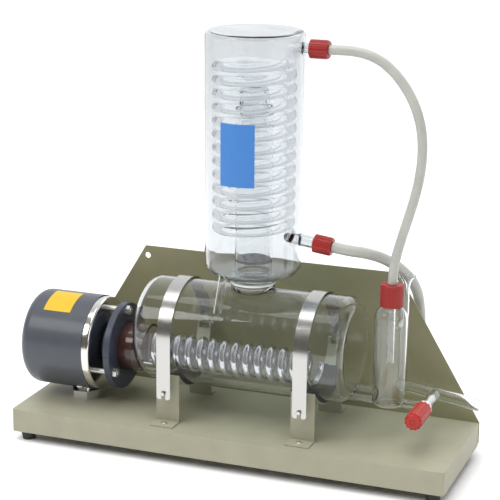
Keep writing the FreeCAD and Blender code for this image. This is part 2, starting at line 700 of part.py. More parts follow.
def make_boiler():
    deep = 3 * BOILER_WALL
    neck_start = vec(NECK_END_X, 0, HEATER_Z)
    neck = rod(NECK_R, NECK_LENGTH + deep, neck_start, X)
    bead = rod(NECK_BEAD_R, NECK_BEAD, neck_start, X)
    top_base = vec(CONDENSER_X, 0, BOILER_TOP_Z - deep)
    top_neck = rod(TOP_NECK_R, TOP_NECK_RISE + deep, top_base, Z)
    joint_z = BOILER_TOP_Z + TOP_NECK_RISE
    joint = rod(JOINT_FLANGE_R, JOINT_FLANGE, vec(CONDENSER_X, 0, joint_z - JOINT_FLANGE), Z)
    link_start = vec(BOILER_RIGHT_X - BOILER_END_R, 0, TOP_Z + LINK_LIFT)
    link = rod(LINK_R, BOTTLE_X - link_start.x, link_start, X)
    bottle = rod(BOTTLE_R, BOTTLE_BODY, vec(BOTTLE_X, 0, BOTTLE_Z), Z)
    outside = boiler_solid(0).fuse([neck, bead, top_neck, joint, link])
    vapour_seam = [e for e in outside.Edges if seam_on_top(e)]
    outside = outside.makeFillet(TOP_NECK_FILLET, vapour_seam)
    inside = boiler_solid(BOILER_WALL).fuse([
        rod(NECK_R - BOILER_WALL, NECK_LENGTH + deep, neck_start, X),
        rod(TOP_NECK_R - BOILER_WALL, TOP_NECK_RISE + deep, top_base, Z),
        rod(LINK_R - GLASS, BOTTLE_X - link_start.x, link_start, X),
    ])
    return outside.cut([inside, bottle]).removeSplitter()


def helix_tube(coil_r, tube_r, pitch, turns):
    """A tube wound about +Z from (coil_r, 0, 0)."""
    path = Part.makeHelix(pitch, pitch * turns, coil_r)
    along = vec(0, coil_r, pitch / (2 * math.pi))
    section = Part.Wire([Part.makeCircle(tube_r, vec(coil_r, 0, 0), along)])
    return Part.Wire(path).makePipeShell([section], True, True)


def make_heater():
    start_x = BOILER_LEFT_X + HEATER_FROM_END
    coil = helix_tube(HEATER_COIL_R, HEATER_TUBE_R, HEATER_PITCH, HEATER_TURNS)
    length = HEATER_PITCH * HEATER_TURNS
    end = math.radians(360 * HEATER_TURNS)
    end_point = vec(HEATER_COIL_R * math.cos(end), HEATER_COIL_R * math.sin(end), length)
    cold_end = terminal_face_x() - start_x
    lead = rod(HEATER_TUBE_R, -cold_end, vec(HEATER_COIL_R, 0, cold_end), Z)
    back = rod(HEATER_TUBE_R, length - cold_end, vec(0, 0, cold_end), Z)
    across = rod(HEATER_TUBE_R, HEATER_COIL_R, end_point, vec(0, 0, length) - end_point)
    bends = (vec(HEATER_COIL_R, 0, 0), end_point, vec(0, 0, length))
    knobs = [Part.makeSphere(HEATER_TUBE_R, p) for p in bends]
    whole = coil.fuse([lead, back, across] + knobs)
    return placed(whole, vec(start_x, 0, HEATER_Z), X)


def lead_places():
    """The heater's two cold ends, as (y, z); the winding starts at the lower one."""
    start = placed(Part.Vertex(HEATER_COIL_R, 0, 0), vec(0, 0, HEATER_Z), X)
    return [(0, HEATER_Z), (start.Point.y, start.Point.z)]


def flange_left_x():
    return NECK_END_X + NECK_BEAD + FLANGE_BACK - FLANGE


def dish_x():
    """The outer face of the dish, between the flange and the cover."""
    return flange_left_x() - DISH_GAP


def cover_rim_x():
    return dish_x() - DISH_RIM


def terminal_face_x():
    return cover_rim_x() - BLOCK_SET_BACK


def lead_holes(x0, x1, gap):
    return [rod(HEATER_TUBE_R + gap, x1 - x0, vec(x0, y, z), X) for y, z in lead_places()]


def make_stopper():
    bore = NECK_R - BOILER_WALL
    plug = rod(bore, STOPPER_LENGTH, vec(NECK_END_X, 0, HEATER_Z), X)
    lip = rod(NECK_BEAD_R, STOPPER_FLANGE, vec(NECK_END_X - STOPPER_FLANGE, 0, HEATER_Z), X)
    holes = lead_holes(NECK_END_X - STOPPER_FLANGE, NECK_END_X + STOPPER_LENGTH, 0)
    return plug.fuse(lip).cut(holes).removeSplitter()


def bolt_places():
    return [(BOLT_CIRCLE_R * math.cos(a), HEATER_Z + BOLT_CIRCLE_R * math.sin(a))
            for a in (math.radians(d) for d in (90, 210, 330))]


def make_flange():
    """Two half rings behind the neck's bead."""
    left = flange_left_x()
    ring = rod(FLANGE_R, FLANGE, vec(left, 0, HEATER_Z), X)
    edge = [e for e in ring.Edges if e.Length > 2 * math.pi * FLANGE_R - 1]
    ring = ring.makeFillet(FLANGE_EDGE_R, edge)
    bore = rod(NECK_R + HOLE_GAP, FLANGE, vec(left, 0, HEATER_Z), X)
    pocket = rod(NECK_BEAD_R + HOLE_GAP, NECK_END_X + NECK_BEAD - left, vec(left, 0, HEATER_Z), X)
    holes = [rod(BOLT_R + HOLE_GAP, FLANGE, vec(left, y, z), X) for y, z in bolt_places()]
    half_gap = SPLIT_GAP / 2
    split = box(left, left + FLANGE, -FLANGE_R, FLANGE_R, HEATER_Z - half_gap, HEATER_Z + half_gap)
    return ring.cut([bore, pocket, split] + holes)


def make_boss():
    """The moulded head that presses the stopper into the neck; its skirt covers the stopper's lip."""
    right = NECK_END_X - STOPPER_FLANGE
    skirt = STOPPER_FLANGE - HOLE_GAP
    lip_r = NECK_BEAD_R + HOLE_GAP
    head = turned([(0, -BOSS_LENGTH), (BOSS_FACE_R, -BOSS_LENGTH), (BOSS_R, -BOSS_RIM), (BOSS_R, skirt),
                   (lip_r, skirt), (lip_r, 0), (0, 0)])
    head = placed(head, vec(right, 0, HEATER_Z), X)
    return head.cut(lead_holes(right - BOSS_LENGTH, right, HOLE_GAP))


def make_dish():
    face_x = dish_x()
    rim = DISH_RIM
    edge = DISH_EDGE_R
    shell = turned([(0, 0), (DISH_R - edge, 0), corner(DISH_R - edge, edge, edge, -90, 0), (DISH_R, rim),
                    (COVER_R - COVER_WALL - HOLE_GAP, rim), (COVER_R - COVER_WALL - HOLE_GAP, rim + DISH_LIP),
                    (COVER_R - COVER_WALL - HOLE_GAP - SHEET, rim + DISH_LIP),
                    (COVER_R - COVER_WALL - HOLE_GAP - SHEET, SHEET), (0, SHEET)])
    shell = placed(shell, vec(face_x, 0, HEATER_Z), -X)
    holes = [rod(BOLT_R + HOLE_GAP, 2 * SHEET, vec(face_x - 1.5 * SHEET, y, z), X) for y, z in bolt_places()]
    return shell.cut(holes + lead_holes(face_x - 2 * SHEET, face_x + 1, HOLE_GAP))


def make_bolts():
    bolts = []
    face_x = dish_x()
    far = flange_left_x() + FLANGE
    for y, z in bolt_places():
        start = face_x - SHEET
        shank = rod(BOLT_R, far + BOLT_NUT_H + BOLT_OUT - start, vec(start, y, z), X)
        head = placed(prism(BOLT_NUT_R, 6, BOLT_HEAD_H), vec(start, y, z), -X)
        bolts.append(head.fuse(shank).removeSplitter())
        sleeve = pipe(SLEEVE_R, BOLT_R, flange_left_x() - face_x, vec(face_x, y, z), X)
        bolts.append(sleeve)
        bolts.append(nut(vec(far, y, z), X, BOLT_R, BOLT_NUT_R, BOLT_NUT_H))
    return group(bolts)


def cover_left_x():
    return cover_rim_x() - COVER_LENGTH


def make_cover():
    r = COVER_R
    wall = COVER_WALL
    edge = COVER_EDGE_R
    shell = turned([(0, 0), (r - edge, 0), corner(r - edge, edge, edge, -90, 0), (r, COVER_LENGTH),
                    (r - wall, COVER_LENGTH), (r - wall, edge), corner(r - edge, edge, edge - wall, 0, -90),
                    (0, wall)])
    shell = placed(shell, vec(cover_left_x(), 0, HEATER_Z), X)
    fitting_hole = rod(FITTING_R + HOLE_GAP, COVER_R, vec(FITTING_X, FITTING_Y, TOP_Z), Z)
    origin, inward = cover_screw_place()
    screw_hole = rod(COVER_SCREW_R, 4 * wall, origin - inward * wall, inward)
    return shell.cut([fitting_hole, screw_hole])


def cover_screw_place():
    """A point on the cover's skin, low at the front near its rim, and the way in."""
    a = math.radians(COVER_SCREW_DEG)
    out = vec(0, math.cos(a), math.sin(a))
    return vec(cover_rim_x() - COVER_SCREW_INSET, 0, HEATER_Z) + out * COVER_R, out * -1


def make_cover_screw():
    origin, inward = cover_screw_place()
    return screw(origin, inward, COVER_SCREW_LENGTH, COVER_SCREW_R, COVER_SCREW_HEAD_R, COVER_SCREW_R)


def make_fitting():
    """A hollow threaded stem that joins the cover to the tray, with its nut above and below."""
    rise = fitting_skin_z() - TOP_Z
    stem_low = TOP_Z - SHEET - FITTING_STEM_DROP
    stem = pipe(FITTING_R, FITTING_BORE_R, fitting_skin_z() + COVER_WALL + FITTING_STEM_RISE - stem_low,
                vec(FITTING_X, FITTING_Y, stem_low), Z)
    collar = prism(FITTING_NUT_R, 6, rise - FITTING_GAP).cut(rod(FITTING_R, rise, vec(0, 0, 0), Z))
    collar = placed(collar, vec(FITTING_X, FITTING_Y, TOP_Z), Z)
    return stem.fuse(collar).removeSplitter()


def fitting_skin_z():
    """The lowest height that the cover's skin reaches over the fitting's nut."""
    return HEATER_Z - COVER_R


def make_fitting_nut():
    low = vec(FITTING_X, FITTING_Y, TOP_Z - SHEET)
    return nut(low, -Z, FITTING_R, FITTING_LOW_NUT_R, FITTING_LOW_NUT_H)


def make_terminal_block():
    left = terminal_face_x() - BLOCK_LENGTH
    block = box(left, terminal_face_x(), -BLOCK_HALF_WIDTH, BLOCK_HALF_WIDTH,
                HEATER_Z - BLOCK_DROP, HEATER_Z + BLOCK_RISE)
    edges = [e for e in block.Edges if abs(e.tangentAt(e.FirstParameter).x) > 0.9]
    block = block.makeFillet(BLOCK_EDGE_R, edges)
    cup_start = terminal_face_x() - CUP_DEPTH
    cups = [rod(HEATER_TUBE_R - CUP_WALL, CUP_DEPTH, vec(cup_start, y, z), X) for y, z in lead_places()]
    screw_start = left - TERMINAL_SCREW_H
    screws = [rod(TERMINAL_SCREW_R, TERMINAL_SCREW_H, vec(screw_start, y, z), X) for y, z in lead_places()]
    return block.cut(cups), group(screws)


def make_cutout():
    """The thermal cut-out: a button on a small flange, on the dish's inner face."""
    face = dish_x() - SHEET
    body = turned([(0, 0), (CUTOUT_R, 0), (CUTOUT_R, CUTOUT_HEIGHT - CUTOUT_EDGE),
                   (CUTOUT_R - CUTOUT_EDGE, CUTOUT_HEIGHT), (0, CUTOUT_HEIGHT)])
    base = turned([(0, 0), (CUTOUT_FLANGE_R, 0), (CUTOUT_FLANGE_R, SHEET), (0, SHEET)])
    y, rise = CUTOUT_PLACE
    return placed(body.fuse(base).removeSplitter(), vec(face, y, HEATER_Z + rise), -X)


def curved_label(radius, height, half_angle, middle_deg):
    """A sticker round +Z."""
    strip = profile([(radius, 0), (radius + LABEL, 0), (radius + LABEL, height), (radius, height)])
    label = strip.revolve(vec(0, 0, 0), Z, 2 * half_angle)
    label.rotate(vec(0, 0, 0), Z, middle_deg - half_angle)
    return label


def make_cover_label():
    label = curved_label(COVER_R, COVER_LABEL_LENGTH, COVER_LABEL_HALF_DEG, 0)
    # Turned so that its middle faces up and to the front
    start = placed(label, vec(0, 0, 0), X)
    probe = placed(Part.Vertex(1, 0, 0), vec(0, 0, 0), X).Point
    now = math.degrees(math.atan2(probe.z, probe.y))
    start.rotate(vec(0, 0, 0), X, COVER_LABEL_TURN_DEG - now)
    start.translate(vec(COVER_LABEL_X - COVER_LABEL_LENGTH / 2, 0, HEATER_Z))
    return start


def make_jacket_label():
    half = math.degrees(JACKET_LABEL_WIDTH / JACKET_R) / 2
    label = curved_label(JACKET_R, JACKET_LABEL_HEIGHT, half, 270)
    label.translate(vec(CONDENSER_X, 0, JACKET_Z + JACKET_LABEL_LIFT))
    return label


def arms():
    """Each side arm of the condenser: where its axis meets the jacket's wall, its direction and its length."""
    tilt = math.radians(LOWER_ARM_TILT)
    wall_x = CONDENSER_X + JACKET_R
    down = vec(math.cos(tilt), 0, -math.sin(tilt))
    return {
        "upper": (vec(wall_x, 0, JACKET_Z + UPPER_ARM_LIFT), X, UPPER_ARM_LENGTH),
        "lower": (vec(wall_x, 0, JACKET_Z + LOWER_ARM_LIFT), down, LOWER_ARM_LENGTH),
    }


def spout_line():
    top = vec(CONDENSER_X + SPOUT_TOP[0], SPOUT_TOP[1], JACKET_Z + SPOUT_TOP_LIFT)
    tip = vec(CONDENSER_X + SPOUT_TIP[0], SPOUT_TIP[1], JACKET_Z - SPOUT_DROP)
    return top, (tip - top).normalize(), top.distanceToPoint(tip)


def jacket_solid(inset):
    r = JACKET_R - inset
    foot = JACKET_FOOT_R - inset
    brow = JACKET_TOP_R - inset
    height = JACKET_HEIGHT - 2 * inset
    body = turned([(0, 0), (r - foot, 0), corner(r - foot, foot, foot, -90, 0), (r, height - brow),
                   corner(r - brow, height - brow, brow, 0, 90), (0, height)])
    body.translate(vec(CONDENSER_X, 0, JACKET_Z + inset))
    return body


def make_jacket():
    joint_z = BOILER_TOP_Z + TOP_NECK_RISE + JOINT_GASKET
    stem = rod(TOP_NECK_R, JACKET_FLOOR_Z - joint_z, vec(CONDENSER_X, 0, joint_z), Z)
    joint = rod(JOINT_FLANGE_R, JOINT_FLANGE, vec(CONDENSER_X, 0, joint_z), Z)
    bore = rod(TOP_NECK_R - BOILER_WALL, JACKET_FLOOR_Z - joint_z + 1, vec(CONDENSER_X, 0, joint_z), Z)
    deep = 2 * JACKET_WALL
    arm_rods = [rod(ARM_R, length + deep, start - way * deep, way) for start, way, length in arms().values()]
    arm_bores = [rod(ARM_BORE_R, length + 3 * deep, start - way * 2 * deep, way)
                 for start, way, length in arms().values()]
    top, way, length = spout_line()
    spout_hole = rod(SPOUT_R - GLASS, length, top - way * 3 * SPOUT_R, way)
    outside = jacket_solid(0).fuse([stem, joint] + arm_rods)
    return outside.cut([jacket_solid(JACKET_WALL), bore, spout_hole] + arm_bores).removeSplitter()


def make_spout():
    top, way, length = spout_line()
    root = top - way * SPOUT_R
    body = rod(SPOUT_R, length + SPOUT_R - SPOUT_TAIL, root, way)
    outside = body.fuse(rod(SPOUT_TAIL_R, length + SPOUT_R, root, way))
    return outside.cut([rod(SPOUT_R - GLASS, length + SPOUT_R, root, way), jacket_solid(0)]).removeSplitter()


def make_joint_gasket():
    z = BOILER_TOP_Z + TOP_NECK_RISE
    return pipe(JOINT_FLANGE_R, TOP_NECK_R - BOILER_WALL, JOINT_GASKET, vec(CONDENSER_X, 0, z), Z)


def make_riser():
    return pipe(RISER_R, RISER_R - GLASS, RISER_HEIGHT, vec(CONDENSER_X, 0, JACKET_FLOOR_Z), Z)


def make_baffle():
    z = JACKET_FLOOR_Z + BAFFLE_LIFT
    disc = rod(RISER_R - GLASS, BAFFLE, vec(CONDENSER_X, 0, z), Z)
    holes = []
    for i in range(BAFFLE_HOLES):
        a = 2 * math.pi * i / BAFFLE_HOLES
        place = vec(CONDENSER_X + BAFFLE_HOLE_CIRCLE_R * math.cos(a), BAFFLE_HOLE_CIRCLE_R * math.sin(a), z)
        holes.append(rod(BAFFLE_HOLE_R, BAFFLE, place, Z))
    return disc.cut(holes)


def make_hood():
    """The splash hood: a spigot in the riser, a rim that seats on it, and a windowed bell."""
    wall = GLASS
    r = HOOD_R
    dome = r / 2
    top = HOOD_HEIGHT
    rim_r = RISER_R + HOOD_RIM_OUT
    body = turned([(HOOD_SPIGOT_R - wall, -HOOD_SPIGOT), (HOOD_SPIGOT_R, -HOOD_SPIGOT), (r, 0), (rim_r, 0),
                   (rim_r, HOOD_RIM), (r, HOOD_RIM), (r, top - dome),
                   corner(r - dome, top - dome, dome, 0, 90), (0, top), (0, top - wall), (r - dome, top - wall),
                   corner(r - dome, top - dome, dome - wall, 90, 0), (r - wall, 0)])
    windows = [rod(HOOD_WINDOW_R, 2 * r, vec(0, 0, HOOD_WINDOW_LIFT), vec(math.cos(a), math.sin(a), 0))
               for a in (math.radians(45 + 90 * i) for i in range(4))]
    hood = body.cut(windows)
    hood.translate(vec(CONDENSER_X, 0, RISER_TOP_Z))
    return hood


def make_cooling_coil():
    places = arms()
    lower, lower_way, lower_length = places["lower"]
    upper, upper_way, upper_length = places["upper"]
    start = lower - lower_way * ((lower.x - CONDENSER_X - COIL_R) / lower_way.x)
    end = vec(CONDENSER_X + COIL_R, 0, start.z + COIL_PITCH * COIL_TURNS)
    rise_top = vec(end.x, 0, upper.z)
    coil = helix_tube(COIL_R, COIL_TUBE_R, COIL_PITCH, COIL_TURNS)
    coil.translate(vec(CONDENSER_X, 0, start.z))
    inner_wall = JACKET_WALL + COIL_SEAL_BACK
    lower_run = rod(COIL_TUBE_R, start.distanceToPoint(lower) - inner_wall, start, lower_way)
    upper_run = rod(COIL_TUBE_R, rise_top.distanceToPoint(upper) - inner_wall, rise_top, upper_way)
    rise = rod(COIL_TUBE_R, rise_top.z - end.z, end, Z)
    back = inner_wall + COIL_SPIGOT_OVERLAP
    spigots = [rod(ARM_BORE_R - COIL_SPIGOT_CLEAR, back + length / 2, place - way * back, way)
               for place, way, length in places.values()]
    knobs = [Part.makeSphere(COIL_TUBE_R, p) for p in (start, end, rise_top)]
    return coil.fuse([lower_run, upper_run, rise] + spigots + knobs)


def screw_cap(radius, length, end_wall, bore_r, hole_r, ribs):
    """A ribbed screw cap: open end at the origin, closed end at length along +Z."""
    ribbed = fluted(radius, length - 2.0, ribs, 0.9, 0.5)
    brim = turned([(0, length - 2.0), (radius - 0.4, length - 2.0), (radius - 0.4, length - 0.8),
                   (radius - 1.2, length), (0, length)])
    cavity = rod(bore_r, length - end_wall, vec(0, 0, 0), Z)
    return ribbed.fuse(brim).cut([cavity, rod(hole_r, length, vec(0, 0, 0), Z)]).removeSplitter()


def arm_fittings():
    """The cap, the seals and the hose nozzle of each side arm."""
    caps = {}
    seals = []
    nozzles = []
    for side, (start, way, length) in arms().items():
        tip = start + way * length
        cap_start = tip + way * (SEAL + NOZZLE_FLANGE + CAP_WALL - CAP_LENGTH)
        cap = screw_cap(CAP_R, CAP_LENGTH, CAP_WALL, ARM_R + CAP_CLEAR, NOZZLE_R + CAP_CLEAR, CAP_RIBS)
        caps[side] = placed(cap, cap_start, way)
        seals.append(pipe(ARM_R, NOZZLE_BORE_R, SEAL, tip, way))
        base = tip + way * SEAL
        flange = rod(ARM_R, NOZZLE_FLANGE, base, way)
        stem = rod(NOZZLE_R, NOZZLE_FLANGE + CAP_WALL + NOZZLE_BARB, base, way)
        bore = rod(NOZZLE_BORE_R, NOZZLE_FLANGE + CAP_WALL + NOZZLE_BARB, base, way)
        nozzles.append(flange.fuse(stem).cut(bore).removeSplitter())
    return caps, group(seals), nozzles


def hose_start(side):
    """Where a hose begins: on the nozzle of this side's arm, just clear of its cap."""
    start, way, length = arms()[side]
    return start + way * (length + SEAL + NOZZLE_FLANGE + CAP_WALL + HOSE_GAP)


def make_outlet_hose():
    end = vec(BOTTLE_X, 0, BOTTLE_CAP_TOP_Z + SEAL + HOLE_GAP)
    return hose(tied(OUTLET_ROUTE, hose_start("upper"), end), OUTLET_HOSE_R)


def make_inlet_hose():
    cx, cy = PUT_AWAY_COIL
    end = vec(cx + PUT_AWAY_R + INLET_HOSE_R, cy, INLET_ROUTE[-1][2])
    return hose(tied(INLET_ROUTE, hose_start("lower"), end), INLET_HOSE_R)


def barrel_axis():
    return vec(STOPCOCK_X, BARREL_FRONT_Y, BARREL_Z)


def bottle_solid(inset):
    r = BOTTLE_R - inset
    neck = BOTTLE_NECK_R - inset
    foot = BOTTLE_FOOT_R - inset
    top = BOTTLE_BODY + BOTTLE_SHOULDER + BOTTLE_NECK
    bend = BOTTLE_BODY + BOTTLE_SHOULDER_BEND
    body = turned([(0, inset), (r - foot, inset), corner(r - foot, inset + foot, foot, -90, 0), (r, BOTTLE_BODY),
                   (r - BOTTLE_SHOULDER_IN, bend, neck, BOTTLE_BODY + BOTTLE_SHOULDER),
                   (neck, top), (0, top)])
    body.translate(vec(BOTTLE_X, 0, BOTTLE_Z))
    return body


def make_bottle():
    link = rod(LINK_R - GLASS, BOTTLE_X, vec(0, 0, TOP_Z + LINK_LIFT), X)
    outlet_start = vec(BOTTLE_X, 0, BARREL_Z)
    outlet = rod(BARREL_INLET_R, STOPCOCK_X - BOTTLE_X, outlet_start, X)
    outlet_bore = rod(BARREL_INLET_R - GLASS, STOPCOCK_X - BOTTLE_X, outlet_start, X)
    barrel = rod(BARREL_R, 4 * BARREL_R, vec(STOPCOCK_X, -2 * BARREL_R, BARREL_Z), Y)
    port = vec(OVERFLOW_X, 0, TOP_Z + PORT_LIFT)
    port_rod = rod(OVERFLOW_R, OVERFLOW_Y, port, Y)
    port_bore = rod(PORT_BORE_R, OVERFLOW_Y, port, Y)
    riser = rod(OVERFLOW_R, OVERFLOW_TOP_LIFT, vec(OVERFLOW_X, OVERFLOW_Y, TOP_Z), Z)
    outside = bottle_solid(0).fuse([outlet, port_rod])
    return outside.cut([bottle_solid(GLASS), link, outlet_bore, port_bore, barrel, riser]).removeSplitter()


def make_bottle_cap():
    cap = screw_cap(BOTTLE_CAP_R, BOTTLE_CAP_LENGTH, CAP_WALL, BOTTLE_NECK_R + CAP_CLEAR, DIP_R + CAP_CLEAR,
                    BOTTLE_CAP_RIBS)
    cap.translate(vec(BOTTLE_X, 0, BOTTLE_CAP_TOP_Z + SEAL - BOTTLE_CAP_LENGTH))
    return cap


def make_bottle_seal():
    return pipe(BOTTLE_NECK_R, DIP_R, SEAL, vec(BOTTLE_X, 0, BOTTLE_CAP_TOP_Z - CAP_WALL), Z)


def make_dip_tube():
    low = BOTTLE_CAP_TOP_Z + SEAL - DIP_LENGTH
    return pipe(DIP_R, DIP_R - DIP_WALL, DIP_LENGTH + DIP_STUB, vec(BOTTLE_X, 0, low), Z)


def drain_way():
    fall = math.radians(DRAIN_FALL)
    return vec(math.cos(fall), 0, -math.sin(fall))


def make_overflow():
    """One glass piece: the trumpet, its stem and the drain tube that it empties into."""
    foot = vec(OVERFLOW_X, OVERFLOW_Y, TOP_Z + DRAIN_LIFT)
    top = OVERFLOW_TOP_LIFT - DRAIN_LIFT
    r = OVERFLOW_R
    inner = r - OVERFLOW_WALL
    bend_out, bend_down = TRUMPET_BEND
    stem_out = turned([(0, 0), (r, 0), (r, top - TRUMPET), (r + bend_out, top - bend_down, TRUMPET_R, top),
                       (0, top)])
    stem_in = turned([(0, 0), (inner, 0), (inner, top - TRUMPET),
                      (inner + bend_out, top - bend_down, TRUMPET_R - TRUMPET_WALL, top), (0, top)])
    for stem in (stem_out, stem_in):
        stem.translate(foot)
    way = drain_way()
    drain_out = rod(DRAIN_R, DRAIN_LENGTH - DRAIN_TAIL, foot, way).fuse([
        Part.makeSphere(DRAIN_R, foot), rod(DRAIN_TAIL_R, DRAIN_LENGTH, foot, way)])
    drain_in = rod(DRAIN_R - GLASS, DRAIN_LENGTH, foot, way).fuse(Part.makeSphere(DRAIN_R - GLASS, foot))
    port_bore = rod(PORT_BORE_R, OVERFLOW_Y, vec(OVERFLOW_X, 0, TOP_Z + PORT_LIFT), Y)
    seat = rod(BARREL_SEAT_R, OVERFLOW_Y, vec(STOPCOCK_X, 0, BARREL_Z), Y)
    return stem_out.fuse(drain_out).cut([stem_in, drain_in, port_bore, seat]).removeSplitter()


def make_barrel():
    length = OVERFLOW_Y - BARREL_FRONT_Y
    tube = rod(BARREL_R, length, barrel_axis(), Y)
    bore = rod(BARREL_R - GLASS, length, barrel_axis(), Y)
    drain = rod(DRAIN_R, DRAIN_LENGTH, vec(OVERFLOW_X, OVERFLOW_Y, TOP_Z + DRAIN_LIFT), drain_way())
    inlet = rod(BARREL_INLET_R - GLASS, STOPCOCK_X - BOTTLE_X, vec(BOTTLE_X, 0, BARREL_Z), X)
    return tube.cut([bore, drain, inlet]).removeSplitter()


def make_collar():
    """The white bush that screws onto the barrel's mouth and guides the spindle."""
    ring = rod(COLLAR_R, COLLAR, barrel_axis(), Y)
    return ring.cut([rod(BARREL_R, COLLAR, barrel_axis(), Y)])


def make_spindle():
    """Its plug seals the barrel; a square stem ahead of it slides in the knob's nut."""
    front = barrel_axis() - Y * SPINDLE_OUT
    rear_y = OVERFLOW_Y - DRAIN_R - SPINDLE_SET_BACK
    nose_y = rear_y - SPINDLE_NOSE
    stem = rod(SPINDLE_STEM_R, nose_y + SPINDLE_LAP - front.y, front, Y)
    plug = rod(BARREL_R - GLASS - PIN_RUNNING, PLUG, barrel_axis() + Y * PLUG_SET_BACK, Y)
    nose = turned([(0, 0), (SPINDLE_R, 0), (SPINDLE_NOSE_R, SPINDLE_NOSE), (0, SPINDLE_NOSE)])
    nose = placed(nose, vec(STOPCOCK_X, nose_y, BARREL_Z), Y)
    return stem.fuse([plug, nose]).removeSplitter()


def make_knob():
    tip_r = KNOB_R - KNOB_TIP_IN
    body = fluted(KNOB_R, KNOB_LENGTH - KNOB_TIP, KNOB_FLUTES, KNOB_FLUTE_R, KNOB_FLUTE_DEPTH)
    tip = turned([(0, 0), (tip_r, 0), (tip_r, KNOB_TIP - KNOB_TIP_IN), (tip_r - KNOB_TIP_CHAMFER, KNOB_TIP),
                  (0, KNOB_TIP)])
    tip.translate(vec(0, 0, KNOB_LENGTH - KNOB_TIP))
    ring_start = vec(0, 0, KNOB_LENGTH - KNOB_RING_DEPTH)
    recess = pipe(KNOB_RING_R, KNOB_RING_R - KNOB_RING, KNOB_RING_DEPTH, ring_start, Z)
    socket = rod(SPINDLE_STEM_R + PIN_RUNNING, KNOB_SOCKET, vec(0, 0, 0), Z)
    knob = body.fuse(tip).cut([recess, socket]).removeSplitter()
    return placed(knob, barrel_axis() - Y * HOLE_GAP, -Y)


def make_put_away_coil():
    """The outer shape of the hose that is put away: a round-edged ring, with the tail that leaves it."""
    cx, cy = PUT_AWAY_COIL
    r = INLET_HOSE_R
    height = 2 * r + 2 * r * math.sin(math.radians(60))
    inner = PUT_AWAY_R - 2 * r
    outer = PUT_AWAY_R + 2 * r
    low = PUT_AWAY_LOW_EDGE_R
    top = PUT_AWAY_TOP_EDGE_R
    section = profile([(inner + low, 0), (outer - low, 0), corner(outer - low, low, low, -90, 0),
                       (outer, height - top), corner(outer - top, height - top, top, 0, 90),
                       (inner + top, height), corner(inner + top, height - top, top, 90, 180),
                       (inner, low), corner(inner + low, low, low, 180, 270)])
    ring = section.revolve(vec(0, 0, 0), Z, 360)
    ring.translate(vec(cx, cy, 0))
    tail = rod(r, PUT_AWAY_TAIL, vec(cx, cy + PUT_AWAY_R, CONNECTOR_R), -X)
    return ring.fuse(tail).removeSplitter()


def make_connector():
    """The tap connector on the end of the hose: ribbed nut, hex and hose tail."""
    nut_start = CONNECTOR_LENGTH - CONNECTOR_NUT
    hexagon = prism(CONNECTOR_R, 6, CONNECTOR_HEX)
    hexagon.translate(vec(0, 0, nut_start - CONNECTOR_HEX_BACK))
    neck = rod(CONNECTOR_NECK_R, nut_start, vec(0, 0, 0), Z)
    ribbed = fluted(CONNECTOR_R, CONNECTOR_NUT, CONNECTOR_RIBS, CONNECTOR_RIB_R, CONNECTOR_RIB_DEPTH)
    ribbed.translate(vec(0, 0, nut_start))
    mouth = rod(CONNECTOR_NECK_R, CONNECTOR_MOUTH, vec(0, 0, CONNECTOR_LENGTH - CONNECTOR_MOUTH), Z)
    bore = rod(CONNECTOR_BORE_R, CONNECTOR_LENGTH, vec(0, 0, 0), Z)
    whole = neck.fuse([hexagon, ribbed]).cut([mouth, bore]).removeSplitter()
    cx, cy = PUT_AWAY_COIL
    return placed(whole, vec(cx - PUT_AWAY_TAIL, cy + PUT_AWAY_R, CONNECTOR_R), -X)


os.makedirs("parts", exist_ok=True)

tray, grommet_hole = make_stand()
save("base_tray", tray)
save("back_panel", make_panel(grommet_hole))
feet, feet_screws = make_feet()
save("rubber_feet", feet)
save("feet_screws", feet_screws)
save("panel_screws", make_panel_screws())
save("mains_grommet", make_grommet())
for side, centre in CRADLES.items():
    save("cradle_" + side, make_cradle(centre))
    save("cradle_pad_" + side, make_pad(centre))
    save("strap_" + side, make_strap(centre))
save("cradle_screws", make_cradle_screws())
save("strap_hinge_pins", make_hinge_pins())
save("strap_hooks", make_hooks())
save("boiler_vessel", make_boiler())
save("heater_coil", make_heater())
save("neck_stopper", make_stopper())
save("clamp_flange", make_flange())
save("heater_boss", make_boss())
save("head_dish", make_dish())
save("clamp_bolts", make_bolts())
save("terminal_cover", make_cover())
save("cover_screw", make_cover_screw())
save("cover_fitting", make_fitting())
save("cover_fitting_nut", make_fitting_nut())
terminal_block, terminal_screws = make_terminal_block()
save("terminal_block", terminal_block)
save("terminal_screws", terminal_screws)
save("thermal_cutout", make_cutout())
save("cover_label", make_cover_label())
save("condenser_jacket", make_jacket())
save("jacket_label", make_jacket_label())
save("joint_gasket", make_joint_gasket())
save("distillate_spout", make_spout())
save("vapour_riser", make_riser())
save("splash_baffle", make_baffle())
save("splash_hood", make_hood())
save("cooling_coil", make_cooling_coil())
caps, seals, nozzles = arm_fittings()
save("upper_arm_cap", caps["upper"])
save("lower_arm_cap", caps["lower"])
save("arm_seals", seals)
save("upper_hose_nozzle", nozzles[0])
save("lower_hose_nozzle", nozzles[1])
save("level_bottle", make_bottle())
save("bottle_cap", make_bottle_cap())
save("bottle_cap_seal", make_bottle_seal())
save("dip_tube", make_dip_tube())
save("overflow_drain", make_overflow())
save("stopcock_barrel", make_barrel())
save("stopcock_collar", make_collar())
save("stopcock_spindle", make_spindle())
save("stopcock_knob", make_knob())
save("outlet_hose", make_outlet_hose())
save("inlet_hose", make_inlet_hose())
save("inlet_hose_coil", make_put_away_coil())
save("tap_connector", make_connector())
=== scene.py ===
import json
import math

import bpy
from mathutils import Matrix, Vector

